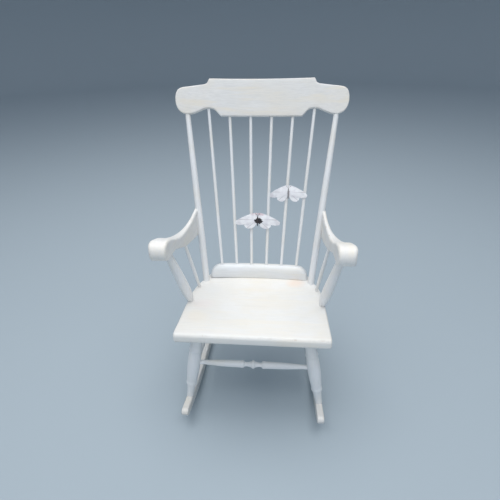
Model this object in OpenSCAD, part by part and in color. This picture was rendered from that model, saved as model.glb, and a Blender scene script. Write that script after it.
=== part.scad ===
// Spindle-back rocking chair with a rolled plank seat, a shaped crest rail and scrolled arms.
// Every turned or sawn wooden piece is a separate solid, and its round ends sit in sockets.
// The origin is on the floor, midway between the front and rear tips of the rockers.
// +Y points to the back of the chair, +Z up; left is -X and right is +X, facing the chair.

/* [Seat] */
// Width of the seat along its front edge
seat_w = 508; // [504:1:516]
// Depth of the seat plank from front to rear edge
seat_d = 425; // [420:1:440]
// Thickness of the seat plank
seat_t = 36; // [34:1:40]
// Height of the top of the seat's front edge above the floor
seat_h = 401; // [395:1:415]
// Slope of the seat down towards the back, in degrees
seat_tilt = 3.9; // [3:0.1:5]
// Distance of the seat's front edge behind the front tips of the rockers
seat_setback = 36; // [30:1:45]

/* [Rear roll] */
// Height of the raised roll along the rear of the seat
roll_h = 51; // [49:1:54]
// Thickness of the roll from front to back
roll_t = 46; // [44:1:48]
// Length of the roll
roll_len = 384; // [378:1:388]

/* [Back] */
// Lean of the crest rail from vertical, in degrees
lean = 19.7; // [19:0.1:20.4]
// Height of the middle of the crest rail's lower edge
crest_z = 955; // [945:1:965]
// Distance of that lower edge behind the seat's front edge
crest_back = 581; // [576:1:586]
// Height of the raised middle of the crest rail, along its slope
crest_h = 130; // [127:1:134]
// Thickness of the crest rail
crest_t = 24; // [23:1:26]
// Overall width of the crest rail
crest_w = 624; // [620:1:628]
// Diameter of the outer posts where they enter the seat
post_d = 25; // [23:0.5:26]
// Diameter of the slim spindles at their ends
spindle_d = 11; // [10:0.5:12]
// Gap between the centres of neighbouring spindles at the seat
spindle_pitch_low = 58.8; // [58:0.2:59.6]
// Gap between the centres of neighbouring spindles at the crest rail
spindle_pitch_high = 77.8; // [77:0.1:78]

/* [Arms] */
// Diameter of the rolled front end of an arm
arm_roll_d = 62; // [58:1:64]
// Height of the centre of that rolled end
arm_roll_z = 670; // [666:1:674]
// Distance of the arms' outer sides from the middle of the chair
arm_out = 305; // [302:1:307]
// Largest diameter of the stout post under each arm
arm_post_d = 36; // [33:1:38]

/* [Legs and stretchers] */
// Largest diameter of a leg
leg_d = 45; // [42:1:46]
// Diameter of the front stretcher at its ends
stretcher_d = 16; // [14:0.5:17]

/* [Rockers] */
// Length of a rocker, tip to tip
rocker_len = 730; // [725:1:740]
// Thickness of a rocker, side to side
rocker_t = 24; // [20:1:26]
// Depth of a rocker at its lowest point
rocker_depth = 42; // [40:1:46]
// Radius of the curved edge that rolls on the floor
rocker_r = 1100; // [1080:10:1140]
// Distance of the resting point ahead of the middle of the rockers
rest_ahead = 49; // [45:1:53]
// Angle between each rocker and straight ahead, in degrees
rocker_toe = 1.5; // [1:0.1:2]

/* [Hidden] */
$fn = 64;

FINE = 720;              // sides of the large arcs
LEFT = -1;
RIGHT = 1;

paint = "white";
wood = "burlywood";
steel = "silver";

socket = 24;             // depth of a round socket in the seat, the roll or the crest rail
arm_socket = 22;         // depth of a round socket in an arm
clear = 40;              // how far a socket's cutter reaches past the surface
seat_front_y = seat_setback - rocker_len / 2;
seat_half = seat_w / 2;
roll_y = 395;            // centre of the roll behind the seat's front edge
roll_r = 1748;           // radius of the roll's curve in plan
crest_r = 1556;          // radius of the crest rail's curve in plan
crest_y = seat_front_y + crest_back;

// ---- curves -------------------------------------------------------------------------------

// Points of an arc about (x, y) from angle a to angle b
function arc(x, y, r, a, b, n = 8) =
    [for (i = [0:n]) let (t = a + (b - a) * i / n) [x + r * cos(t), y + r * sin(t)]];

// Point at t = 0..1 on the smooth curve between b and c, with neighbours a and d
function ease(a, b, c, d, t) =
    (2 * b + (c - a) * t + (2 * a - 5 * b + 4 * c - d) * t * t
     + (3 * b - 3 * c + d - a) * t * t * t) / 2;

// Smooth curve through a list of points, with n steps between each two
function smooth(p, n = 4) =
    [for (i = [0:len(p) - 2], k = [0:n - 1])
        ease(p[max(i - 1, 0)], p[i], p[i + 1], p[min(i + 2, len(p) - 1)], k / n),
     p[len(p) - 1]];

// Point on the seat's top, y behind its front edge, and h above the surface
function seat_point(x, y, h = 0) =
    [x,
     seat_front_y + y * cos(seat_tilt) + h * sin(seat_tilt),
     seat_h - y * sin(seat_tilt) + h * cos(seat_tilt)];

// How far a curve of radius r bends forward at x from the middle
function bend(x, r) = r - sqrt(r * r - x * x);

// Point in the middle of the crest rail's thickness, u up its slope
function crest_point(x, u, front = 0) =
    let (f = -bend(x, crest_r) - front)
    [x, crest_y + f * cos(lean) + u * sin(lean), crest_z - f * sin(lean) + u * cos(lean)];

// Point in the middle of a rocker's thickness, s behind its middle and at height z
function rocker_point(side, s, z) =
    [side * (rocker_mid_x - s * sin(rocker_toe)), s * cos(rocker_toe), z];

// Height of a rocker's upper edge, s behind its middle
function rocker_top(s) = rocker_depth + bend(s + rest_ahead, rocker_top_r);

// Height of a rocker's lower edge, s behind its middle
function rocker_base(s) = bend(s + rest_ahead, rocker_r);

// Point a distance d along the line from p to q
function on_line(p, q, d) = p + (q - p) * d / norm(q - p);

// ---- where the round pieces run ------------------------------------------------------------

rocker_mid_x = 229;      // half the gap between the middles of the rockers
rocker_top_r = 1360;     // radius of a rocker's upper edge

// Outer posts of the back
function post_foot(side) = seat_point(side * 205, 345);
function post_head(side) = crest_point(side * 271, 6);

// Spindles 1 to 6 from left to right; the outermost two end higher, in the notches
mid_spindle = 3.5;
notch_u = 26;
function spindle_foot(i) =
    let (x = (i - mid_spindle) * spindle_pitch_low) seat_point(x, roll_y - bend(x, roll_r), roll_h);
function spindle_head(i) =
    let (x = (i - mid_spindle) * spindle_pitch_high)
    crest_point(x, abs(i - mid_spindle) > 2 ? notch_u : 0);

// Stout post and slim spindle under each arm
function arm_post_foot(side) = seat_point(side * 235, 198);
function arm_post_head(side) = [side * 276, seat_front_y + 128, 632];
function arm_spindle_foot(side) = seat_point(side * 222, 292);
function arm_spindle_head(side) = [side * 247, seat_front_y + 248, 584];

front_s = -280;          // where the front legs stand on the rockers
rear_s = 75;             // where the rear legs stand on the rockers
foot_depth = 24;         // length of a leg's tenon in its rocker

// Legs, from under the seat to the upper edges of the rockers
function leg_top(side, rear) =
    rear ? seat_point(side * 175, 335, -seat_t) : seat_point(side * 186, 64, -seat_t);
function leg_foot(side, rear) =
    let (s = rear ? rear_s : front_s) rocker_point(side, s, rocker_top(s));
// Point on a leg's axis at height z
function leg_at(side, rear, z) =
    let (a = leg_top(side, rear), b = leg_foot(side, rear)) a + (b - a) * (a[2] - z) / (a[2] - b[2]);

front_stretcher_z = 227; // heights of the stretchers' ends
rear_stretcher_z = 232;
side_stretcher_z = 168;
stretch_in = 5;          // how far a stretcher's end stops short of a leg's axis

// Radii of the round ends that sit in sockets
post_r = post_d / 2;     // outer post in the seat
post_top_r = 9.5;        // outer post in the crest rail
spindle_r = spindle_d / 2;
arm_post_foot_r = 9.5;   // arm post in the seat
arm_post_top_r = 11;     // arm post in the arm
arm_spindle_r = 5.5;
leg_top_r = 13;          // leg in the seat
foot_tenon_r = 6;        // leg in a rocker
tenon_r = stretcher_d / 2;
dowel_r = 5;
pin_r = 2.5;

// ---- building blocks -----------------------------------------------------------------------

// Children stand on p with their Z axis pointing at q
module along(p, q) {
    d = q - p;
    translate(p)
        rotate([0, acos(d[2] / norm(d)), atan2(d[1], d[0])])
            children();
}

// Turned piece on the line from p to q; profile lists [radius, distance from p]
module turned(p, q, profile) {
    last = len(profile) - 1;
    along(p, q)
        rotate_extrude()
            polygon(concat([[0, profile[0][1]]], profile, [[0, profile[last][1]]]));
}

// Round hole or peg of radius r on the line from p to q, from distance a to distance b
module peg(p, q, r, a, b) {
    along(p, q)
        translate([0, 0, a])
            cylinder(r = r, h = b - a);
}

module on_seat() {
    translate([0, seat_front_y, seat_h])
        rotate([-seat_tilt, 0, 0])
            children();
}

module on_crest() {
    translate([0, crest_y, crest_z])
        rotate([-lean, 0, 0])
            children();
}

// Outline in the YZ plane, made thick along X
module side_plate(thick) {
    rotate([90, 0, 90])
        linear_extrude(height = thick, center = true)
            children();
}

// ---- seat ----------------------------------------------------------------------------------

front_corner = 7;        // radii of the corners in plan
rear_corner = 28;
rear_in = 57;            // how far the rear corners lie in from the widest part of the seat
rear_turn = 24;          // angle at which the seat's sides reach the rear corners
nose_r = 12;             // radius of the rounded front edge

// Right half of the seat's outline, front to rear
function seat_side() =
    concat(
        arc(seat_half - front_corner, front_corner, front_corner, -90, -15, 5),
        smooth([[seat_half, front_corner], [seat_half - 3, 80], [seat_half - 5, 160],
                [seat_half - 9, 240], [seat_half - 16, 290], [seat_half - 28, 330],
                [seat_half - 41, 360], [seat_half - 52, 390]]),
        arc(seat_half - rear_in - rear_corner, seat_d - rear_corner, rear_corner, rear_turn, 90, 6));

module seat_outline() {
    half = seat_side();
    polygon(concat(half, [for (i = [len(half) - 1:-1:0]) [-half[i][0], half[i][1]]]));
}

// Side view of the seat plank, with its rounded front edge
module seat_side_view() {
    polygon(concat(arc(nose_r, -nose_r, nose_r, 90, 180),
                   arc(nose_r, nose_r - seat_t, nose_r, 180, 270),
                   [[seat_d + 1, -seat_t], [seat_d + 1, 0]]));
}

module seat_sockets() {
    for (side = [LEFT, RIGHT]) {
        peg(post_foot(side), post_head(side), post_r, -socket, clear);
        peg(arm_post_foot(side), arm_post_head(side), arm_post_foot_r, -socket, clear);
        peg(arm_spindle_foot(side), arm_spindle_head(side), arm_spindle_r, -socket, clear);
        for (rear = [false, true])
            peg(leg_top(side, rear), leg_foot(side, rear), leg_top_r, -socket, clear);
    }
}

dowel_x = [-150, 0, 150];
dowel_half = 20;         // half the length of a dowel

// Wooden dowels that hold the roll down on the seat
module roll_dowels() {
    color(wood)
        on_seat()
            for (x = dowel_x)
                translate([x, roll_y - bend(x, roll_r), -dowel_half])
                    cylinder(r = dowel_r, h = 2 * dowel_half);
}

module seat_board() {
    color(paint)
        difference() {
            on_seat()
                intersection() {
                    translate([0, 0, -seat_t])
                        linear_extrude(height = seat_t)
                            seat_outline();
                    side_plate(seat_w + 2)
                        seat_side_view();
                }
            seat_sockets();
            roll_dowels();
        }
}

roll_corner_w = 44;      // width and height of the roll's rounded ends
roll_corner_h = 43;
roll_sweep = 14;         // angle of the roll's curve in plan

// Front view of the roll, rounded off at both ends
module roll_front_view() {
    half = roll_len / 2;
    polygon(concat([[-half, 0], [half, 0]],
        [for (p = arc(0, 0, 1, 0, 90)) roll_end(1, p)],
        [for (p = arc(0, 0, 1, 90, 0)) roll_end(-1, p)]));
}

// Point of a rounded end, from a point of the unit circle
function roll_end(side, p) =
    [side * (roll_len / 2 - roll_corner_w * (1 - p[0])), roll_h - roll_corner_h * (1 - p[1])];

// Rolled bar that rises along the rear of the seat and carries the spindles
module seat_rear_roll() {
    color(paint)
        difference() {
            on_seat()
                intersection() {
                    translate([0, roll_y - roll_r, 0])
                        rotate([0, 0, 90 - roll_sweep / 2])
                            rotate_extrude(angle = roll_sweep, $fn = FINE)
                                translate([roll_r, 0])
                                    roll_section();
                    translate([0, roll_y + roll_t, 0])
                        rotate([90, 0, 0])
                            linear_extrude(height = 3 * roll_t)
                                roll_front_view();
                }
            for (i = [1:6])
                peg(spindle_foot(i), spindle_head(i), spindle_r, -socket, clear);
            roll_dowels();
        }
}

// Cross-section of the roll: upright sides and a round top
module roll_section() {
    r = roll_t / 2;
    translate([-r, 0])
        square([roll_t, roll_h - r]);
    translate([0, roll_h - r])
        circle(r = r);
}

// ---- back ----------------------------------------------------------------------------------

// Lower edge of the crest rail's right half: a notch that rises and falls towards the ear
notch_edge = [[150, 0], [157, 7], [165, 16], [173, 23], [182, 26.5], [193, 27.5], [204, 26.5],
              [213, 23.5], [225, 18], [237, 13], [250, 8]];

// Edge of the right ear from below to above, as [distance in from the rail's end, height]
ear_edge = [[46, 5], [31, 6.5], [16, 13.5], [6, 27], [1, 43], [0, 59], [2, 74], [7, 86],
            [16, 94], [29, 98.5]];

// Step from the ear up to the raised middle
shoulder = [[207, 110], [198, 114.5], [191, crest_h]];

// Front view of the crest rail: raised middle, round ears and a notch beside each ear
module crest_outline() {
    ear = [for (p = ear_edge) [crest_w / 2 - p[0], p[1]]];
    half = concat(smooth(concat(notch_edge, ear)), shoulder);
    polygon(concat(half, [for (i = [len(half) - 1:-1:0]) [-half[i][0], half[i][1]]]));
}

module crest_rail() {
    reach = 80;          // enough to cover the bend and the thickness
    color(paint)
        difference() {
            on_crest()
                intersection() {
                    translate([0, reach, 0])
                        rotate([90, 0, 0])
                            linear_extrude(height = 2 * reach)
                                crest_outline();
                    translate([0, -crest_r, -1])
                        difference() {
                            cylinder(r = crest_r + crest_t / 2, h = crest_h + 2, $fn = FINE);
                            translate([0, 0, -1])
                                cylinder(r = crest_r - crest_t / 2, h = crest_h + 4, $fn = FINE);
                        }
                }
            for (i = [1:6])
                peg(spindle_head(i), spindle_foot(i), spindle_r, -socket, clear);
            for (side = [LEFT, RIGHT])
                peg(post_head(side), post_foot(side), post_top_r, -socket, clear);
            crest_pins();
        }
}

pin_x = 270;             // where the pins cross the tops of the outer posts
pin_u = 20;
pin_reach = 6;           // how far a pin passes the middle of the rail's thickness

// Small pins from the rear of the crest rail through the tops of the outer posts
module crest_pins() {
    color(wood)
        for (side = [LEFT, RIGHT])
            along(crest_point(side * pin_x, pin_u, pin_reach), crest_point(side * pin_x, pin_u))
                cylinder(r = pin_r, h = pin_reach + crest_t / 2);
}

// Outer post: thickest at a third of its height, tapering to the crest rail
module back_post(side) {
    foot = post_foot(side);
    head = post_head(side);
    length = norm(head - foot);
    color(paint)
        difference() {
            turned(foot, head, concat(
                [[post_r, -socket]],
                smooth([[post_r, 30], [post_r + 0.8, length * 0.3],
                        [post_r - 0.6, length * 0.65], [post_top_r, length - 30]]),
                [[post_top_r, length + socket]]));
            crest_pins();
            arm_screws();
        }
}

// Slim spindle with a slight swelling
module back_spindle(i) {
    foot = spindle_foot(i);
    head = spindle_head(i);
    length = norm(head - foot);
    r = spindle_r;
    color(paint)
        turned(foot, head, concat(
            [[r, -socket]],
            smooth([[r, 20], [r + 0.8, length * 0.3], [r + 0.6, length * 0.6], [r, length - 20]]),
            [[r, length + socket]]));
}

// ---- arms ----------------------------------------------------------------------------------

arm_front = 68;          // centre of the rolled end behind the seat's front edge
arm_rear = 449;          // rear end of an arm's upper edge, behind the seat's front edge
post_gap = 1;            // play between an outer post and the hollow in the arm

// Side view of an arm, y counted from the seat's front edge: rolled front end, deep rear end
module arm_side_view() {
    r = arm_roll_d / 2;
    front = arc(arm_front, arm_roll_z, r, 270, 100, 16);
    top = smooth([[arm_front + 12, arm_roll_z + r - 1], [110, 690], [150, 669], [205, 650],
                  [270, 641], [345, 641], [arm_rear, 646]]);
    low = smooth([[arm_rear - 38, 543], [330, 564], [250, 584], [190, 610],
                  [139, 633], [100, 638.5]]);
    polygon(concat(front, top, low));
}

// Top view of the right arm: wide rolled end, then a sweep inwards to the post
module arm_top_view() {
    inner = [[250, 30], [245, 120], [241, 250], [236, 345], [236, 460]];
    outer = [[250, 460], [250, 400], [252, 345], [261, 270], [280, 180], [298, 105], [arm_out, 62],
             [arm_out - 8, 30]];
    polygon(concat(smooth(inner), smooth(outer)));
}

module arm(side) {
    mirror([side == LEFT ? 1 : 0, 0, 0])
        color(paint)
            difference() {
                translate([0, seat_front_y, 0])
                    intersection() {
                        translate([arm_out, 0, 0])
                            side_plate(arm_out)
                                arm_side_view();
                        linear_extrude(height = 2 * arm_roll_z)
                            arm_top_view();
                    }
                peg(arm_post_head(RIGHT), arm_post_foot(RIGHT), arm_post_top_r, -arm_socket, clear);
                peg(arm_spindle_head(RIGHT), arm_spindle_foot(RIGHT), arm_spindle_r, -arm_socket,
                    clear);
                peg(post_foot(RIGHT), post_head(RIGHT), post_r + post_gap, 0, screw_up * 2);
                arm_screws();
                arm_screw_plugs();
            }
}

// Stout turned post under the front of an arm
module arm_post(side) {
    foot = arm_post_foot(side);
    head = arm_post_head(side);
    length = norm(head - foot);
    color(paint)
        turned(foot, head, concat(
            [[arm_post_foot_r, -socket]],
            smooth([[arm_post_foot_r, 3], [arm_post_d / 2 - 3, length * 0.1],
                    [arm_post_d / 2, length * 0.28], [arm_post_d / 2 - 1, length * 0.5],
                    [arm_post_d / 2 - 3.2, length * 0.74], [12.5, length - 14],
                    [arm_post_top_r, length - 8]]),
            [[arm_post_top_r, length + arm_socket]]));
}

// Slim spindle under the rear of an arm
module arm_spindle(side) {
    foot = arm_spindle_foot(side);
    head = arm_spindle_head(side);
    length = norm(head - foot);
    color(paint)
        turned(foot, head, concat(
            [[arm_spindle_r, -socket]],
            smooth([[arm_spindle_r, 12], [arm_spindle_r + 1.3, length * 0.45],
                    [arm_spindle_r, length - 12]]),
            [[arm_spindle_r, length + arm_socket]]));
}

plug_r = 4;              // wooden plug over the head of an arm screw
plug_t = 3;
head_t = 2.5;            // thickness of the screw's head
shank_r = 2;
shank_len = 19;
screw_up = 226;          // distance of the screw up the outer post

// The arm screw runs from the outside of the arm into the outer post
function screw_end(side) = on_line(post_foot(side), post_head(side), screw_up);
function screw_start(side) = let (p = screw_end(side)) [side * 250, p[1] - 6, p[2]];

module arm_screws() {
    color(steel)
        for (side = [LEFT, RIGHT])
            along(screw_start(side), screw_end(side)) {
                translate([0, 0, plug_t])
                    cylinder(r = plug_r, h = head_t);
                translate([0, 0, plug_t + head_t])
                    cylinder(r = shank_r, h = shank_len);
            }
}

module arm_screw_plugs() {
    color(paint)
        for (side = [LEFT, RIGHT])
            along(screw_start(side), screw_end(side))
                cylinder(r = plug_r, h = plug_t);
}

// ---- legs and stretchers -------------------------------------------------------------------

// Turned leg: slim neck, ring, long swelling, ring, slim foot and tenon
module leg(side, rear) {
    top = leg_top(side, rear);
    foot = leg_foot(side, rear);
    length = norm(foot - top);
    r = leg_d / 2;
    color(paint)
        difference() {
            union() {
                difference() {
                    turned(top, foot, concat(
                        [[leg_top_r, -socket], [leg_top_r, 3], [r - 5.5, 8]],
                        smooth([[r - 5, 12], [r - 4, 30], [r - 3, length * 0.2]]),
                        smooth([[r - 2, length * 0.225], [r - 0.6, length * 0.25]]),
                        smooth([[r - 2, length * 0.28], [r, length * 0.4], [r - 0.5, length * 0.56],
                                [r - 4, length * 0.74]]),
                        smooth([[r - 3, length * 0.76], [r - 3.4, length * 0.785],
                                [r - 7, length * 0.8]]),
                        smooth([[r - 7.6, length * 0.84], [r - 9.4, length * 0.93],
                                [r - 10, length + 12]])));
                    rocker_blank(side);
                }
                peg(top, foot, foot_tenon_r, length - 10, length + foot_depth);
            }
            for (hole = [0:2])
                stretcher_socket(hole, side);
            rocker_pins();
        }
}

// Ends of the stretchers: 0 front, 1 rear, 2 side
function stretcher_end(kind, side) =
    kind == 0 ? leg_at(side, false, front_stretcher_z) :
    kind == 1 ? leg_at(side, true, rear_stretcher_z) :
    leg_at(side, false, side_stretcher_z);
function stretcher_far(kind, side) =
    kind == 2 ? leg_at(side, true, side_stretcher_z) : stretcher_end(kind, -side);

module stretcher_socket(kind, side) {
    a = stretcher_end(kind, side);
    b = stretcher_far(kind, side);
    length = norm(b - a);
    peg(a, b, tenon_r, stretch_in, length - stretch_in);
}

// Plain turned stretcher, thicker in the middle
module plain_stretcher(kind, side, mid_r) {
    a = stretcher_end(kind, side);
    b = stretcher_far(kind, side);
    length = norm(b - a);
    color(paint)
        turned(a, b, concat(
            [[tenon_r, stretch_in]],
            smooth([[tenon_r, 40], [mid_r, length / 2], [tenon_r, length - 40]], 8),
            [[tenon_r, length - stretch_in]]));
}

bead_neck = 7.5;         // distance of the bead's round edge from the stretcher's axis
bead_r = 7;

// Front stretcher with a bead between two necks at its middle
module front_stretcher() {
    a = stretcher_end(0, LEFT);
    b = stretcher_end(0, RIGHT);
    mid = norm(b - a) / 2;
    half = concat(
        [[tenon_r, mid - stretch_in]],
        smooth([[tenon_r, mid - 40], [11.5, mid * 0.5], [12.5, 44]]),
        smooth([[13.2, 38], [12.4, 33], [8, 29]]),
        smooth([[7.5, 22], [8.5, 14]]),
        arc(bead_neck, 0, bead_r, 60, 0, 5));
    color(paint)
        turned(a, b, concat(
            [for (p = half) [p[0], mid - p[1]]],
            [for (i = [len(half) - 2:-1:0]) [half[i][0], mid + half[i][1]]]));
}

// ---- rockers -------------------------------------------------------------------------------

// Side view of a rocker without its holes
module rocker_outline() {
    reach = rocker_len / 2;
    front_r = (rocker_top(-reach) - rocker_base(-reach)) / 2 - 0.5;
    rear_r = (rocker_top(reach) - rocker_base(reach)) / 2 - 0.5;
    intersection() {
        difference() {
            translate([-rest_ahead, rocker_r])
                circle(r = rocker_r, $fn = FINE);
            translate([-rest_ahead, rocker_depth + rocker_top_r])
                circle(r = rocker_top_r, $fn = FINE);
        }
        translate([front_r - reach, -1])
            square([rocker_len - front_r - rear_r, reach]);
    }
    translate([front_r - reach, rocker_middle(front_r - reach)])
        circle(r = front_r);
    translate([reach - rear_r, rocker_middle(reach - rear_r)])
        circle(r = rear_r);
}

// Height halfway up a rocker's depth
function rocker_middle(s) = (rocker_top(s) + rocker_base(s)) / 2;

module rocker_blank(side) {
    translate([side * rocker_mid_x, 0, 0])
        rotate([0, 0, side * rocker_toe])
            side_plate(rocker_t + leg_d)
                rocker_outline();
}

module rocker(side) {
    color(paint)
        difference() {
            translate([side * rocker_mid_x, 0, 0])
                rotate([0, 0, side * rocker_toe])
                    side_plate(rocker_t)
                        rocker_outline();
            for (rear = [false, true])
                peg(leg_foot(side, rear), leg_top(side, rear), foot_tenon_r, -foot_depth, clear);
            rocker_pins();
        }
}

pin_down = 14;           // distance of the pins below the rockers' upper edges

// Pins across the rockers that lock the legs' tenons
module rocker_pins() {
    color(paint)
        for (side = [LEFT, RIGHT], s = [front_s, rear_s])
            translate(rocker_point(side, s, rocker_top(s) - pin_down))
                rotate([0, 90, side * rocker_toe])
                    cylinder(r = pin_r, h = rocker_t, center = true);
}

// ---- butterfly ornaments -------------------------------------------------------------------

// Each butterfly: sideways place, distance up the back from the crest rail's lower edge
upper_x = 108;
upper_u = -279;
upper_half = 70;         // half the width across the wings
lower_x = -7;
lower_u = -385;
lower_half = 86;
wing_t = 2.4;            // thickness of the wings
wing_gap = 9;            // distance of the wings' back from the spindles' axes

// Right pair of wings, for a butterfly of half-width w, with a cleft below the body
function wing_edge(w) = smooth([[0, 30], [w * 0.3, 25], [w * 0.7, 12], [w, -6], [w * 0.96, -16],
                                [w * 0.64, -20], [w * 0.55, -31], [w * 0.28, -32], [w * 0.1, -18],
                                [0, -5]], 3);

module wings(x, u, w) {
    half = wing_edge(w);
    color(paint)
        on_back(x, u)
            translate([0, 0, wing_gap])
                linear_extrude(height = wing_t)
                    polygon(concat(half, [for (i = [len(half) - 2:-1:1]) [-half[i][0], half[i][1]]]));
}

// Children lie in the plane of the back's spindles, with +Z towards the front
module on_back(x, u) {
    translate(back_point(x, u))
        rotate([90 - lean, 0, 0])
            children();
}

// Point in the plane of the spindles, u up the slope from the crest rail's lower edge
function back_point(x, u) = [x, crest_y + u * sin(lean), crest_z + u * cos(lean)];

// Head, middle and tail of a butterfly, lying on its wings
module butterfly_body(x, u) {
    tail = 22;
    color("dimgray")
        on_back(x, u)
            translate([0, -tail, wing_gap + wing_t + 3])
                rotate([-90, 0, 0])
                    rotate_extrude()
                        polygon(concat([[0, 0]], smooth([[1, 0.5], [2.4, 12], [3, 24], [2.2, 29],
                                                         [2.9, 34], [1, 38]]), [[0, 38.5]]));
}

clip_w = 16;
clip_h = 14;

// Clip that grips spindle i behind the wings
module clip(i, u) {
    foot = spindle_foot(i);
    head = spindle_head(i);
    part = (u + (crest_z - foot[2]) / cos(lean)) / norm(head - foot);
    x = foot[0] + (head[0] - foot[0]) * part;
    color("white")
        difference() {
            on_back(x, u)
                translate([-clip_w / 2, -clip_h / 2, 0])
                    cube([clip_w, clip_h, wing_gap]);
            back_spindle(i);
        }
}

// ---- assembly ------------------------------------------------------------------------------

seat_board();
seat_rear_roll();
crest_rail();
back_post(LEFT);  // back_post_left
back_post(RIGHT);  // back_post_right
back_spindle(1);  // back_spindle_1
back_spindle(2);  // back_spindle_2
back_spindle(3);  // back_spindle_3
back_spindle(4);  // back_spindle_4
back_spindle(5);  // back_spindle_5
back_spindle(6);  // back_spindle_6
arm(LEFT);  // arm_left
arm(RIGHT);  // arm_right
arm_post(LEFT);  // arm_post_left
arm_post(RIGHT);  // arm_post_right
arm_spindle(LEFT);  // arm_spindle_left
arm_spindle(RIGHT);  // arm_spindle_right
leg(LEFT, false);  // leg_front_left
leg(RIGHT, false);  // leg_front_right
leg(LEFT, true);  // leg_rear_left
leg(RIGHT, true);  // leg_rear_right
front_stretcher();
plain_stretcher(1, LEFT, 10);  // rear_stretcher
plain_stretcher(2, LEFT, 10.5);  // side_stretcher_left
plain_stretcher(2, RIGHT, 10.5);  // side_stretcher_right
rocker(LEFT);  // rocker_left
rocker(RIGHT);  // rocker_right
roll_dowels();
crest_pins();
rocker_pins();
arm_screws();
arm_screw_plugs();
wings(upper_x, upper_u, upper_half);  // butterfly_upper_wings
butterfly_body(upper_x, upper_u);  // butterfly_upper_body
clip(5, upper_u);  // butterfly_upper_clip
wings(lower_x, lower_u, lower_half);  // butterfly_lower_wings
butterfly_body(lower_x, lower_u);  // butterfly_lower_body
for (i = [3, 4]) clip(i, lower_u);  // butterfly_lower_clips
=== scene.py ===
import bpy
import bmesh
from math import atan2, cos, hypot, pi, radians, sin, sqrt, tan
from mathutils import Matrix, Vector
from mathutils.bvhtree import BVHTree


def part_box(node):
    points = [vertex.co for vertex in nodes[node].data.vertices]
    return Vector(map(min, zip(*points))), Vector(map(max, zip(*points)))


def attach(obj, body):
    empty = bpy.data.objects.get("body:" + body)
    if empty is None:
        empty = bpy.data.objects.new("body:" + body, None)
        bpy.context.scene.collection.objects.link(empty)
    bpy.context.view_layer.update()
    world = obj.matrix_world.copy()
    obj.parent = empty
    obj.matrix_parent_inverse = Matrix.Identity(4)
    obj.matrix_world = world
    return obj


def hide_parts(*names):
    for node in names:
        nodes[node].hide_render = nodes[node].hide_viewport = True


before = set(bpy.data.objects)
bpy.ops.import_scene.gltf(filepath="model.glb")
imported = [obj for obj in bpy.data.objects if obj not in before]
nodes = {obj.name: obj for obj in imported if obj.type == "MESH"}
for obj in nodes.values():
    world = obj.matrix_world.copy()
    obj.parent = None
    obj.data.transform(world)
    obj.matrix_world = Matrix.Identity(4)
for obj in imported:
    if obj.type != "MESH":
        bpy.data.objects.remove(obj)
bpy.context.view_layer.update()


# ---- camera, light and floor -------------------------------------------------------------

def make_camera():
    """In front of the chair, above it and a little to the right, looking down at the seat."""
    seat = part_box("seat_board")
    place = Vector((0.0888, seat[0][1] - 0.9141, 1.2523))
    yaw, pitch, roll = radians(-5.38), radians(30.06), radians(-1.20)
    forward = Vector((sin(yaw) * cos(pitch), cos(yaw) * cos(pitch), -sin(pitch)))
    right = Vector((cos(yaw), -sin(yaw), 0))
    up = right.cross(forward)
    across = right * cos(roll) + up * sin(roll)
    upward = up * cos(roll) - right * sin(roll)
    data = bpy.data.cameras.new("camera")
    data.sensor_width = 36
    data.lens = 28.08
    camera = bpy.data.objects.new("camera", data)
    bpy.context.collection.objects.link(camera)
    turn = Matrix((across, upward, -forward)).transposed().to_4x4()
    camera.matrix_world = Matrix.Translation(place) @ turn
    bpy.context.scene.camera = camera


def make_light(name, place, target, size, power, colour):
    data = bpy.data.lights.new(name, "AREA")
    data.size = size
    data.energy = power
    data.color = colour
    lamp = bpy.data.objects.new(name, data)
    bpy.context.collection.objects.link(lamp)
    lamp.location = place
    aim = Vector(target) - Vector(place)
    lamp.rotation_euler = aim.to_track_quat("-Z", "Y").to_euler()


def make_world():
    """Soft cool light from all round."""
    world = bpy.data.worlds.new("studio")
    bpy.context.scene.world = world
    world.use_nodes = True
    back = world.node_tree.nodes["Background"]
    back.inputs["Color"].default_value = (0.80, 0.88, 1.0, 1)
    back.inputs["Strength"].default_value = 0.50


def make_floor():
    """A pale round floor that curves up into a wall far from the chair."""
    flat, curve, top, sides = 9.0, 2.5, 8.5, 96
    line = [(1.0, 0.0), (3.0, 0.0), (6.0, 0.0), (flat, 0.0)]
    for i in range(1, 17):
        a = pi / 2 * i / 16
        line.append((flat + curve * sin(a), curve - curve * cos(a)))
    line.append((flat + curve, top))
    verts = [(0, 0, 0)]
    for r, z in line:
        verts += [(r * cos(2 * pi * k / sides), r * sin(2 * pi * k / sides), z)
                  for k in range(sides)]
    faces = [(0, 1 + k, 1 + (k + 1) % sides) for k in range(sides)]
    for i in range(len(line) - 1):
        a, b = 1 + i * sides, 1 + (i + 1) * sides
        for k in range(sides):
            j = (k + 1) % sides
            faces.append((a + k, b + k, b + j, a + j))
    mesh = bpy.data.meshes.new("floor")
    mesh.from_pydata(verts, [], faces)
    for face in mesh.polygons:
        face.use_smooth = True
    floor = bpy.data.objects.new("floor", mesh)
    bpy.context.collection.objects.link(floor)
    mat = bpy.data.materials.new("floor")
    mat.use_nodes = True
    shader = mat.node_tree.nodes["Principled BSDF"]
    shader.inputs["Base Color"].default_value = (0.40, 0.47, 0.52, 1)
    shader.inputs["Roughness"].default_value = 0.85
    mesh.materials.append(mat)


# ---- materials ---------------------------------------------------------------------------

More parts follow.
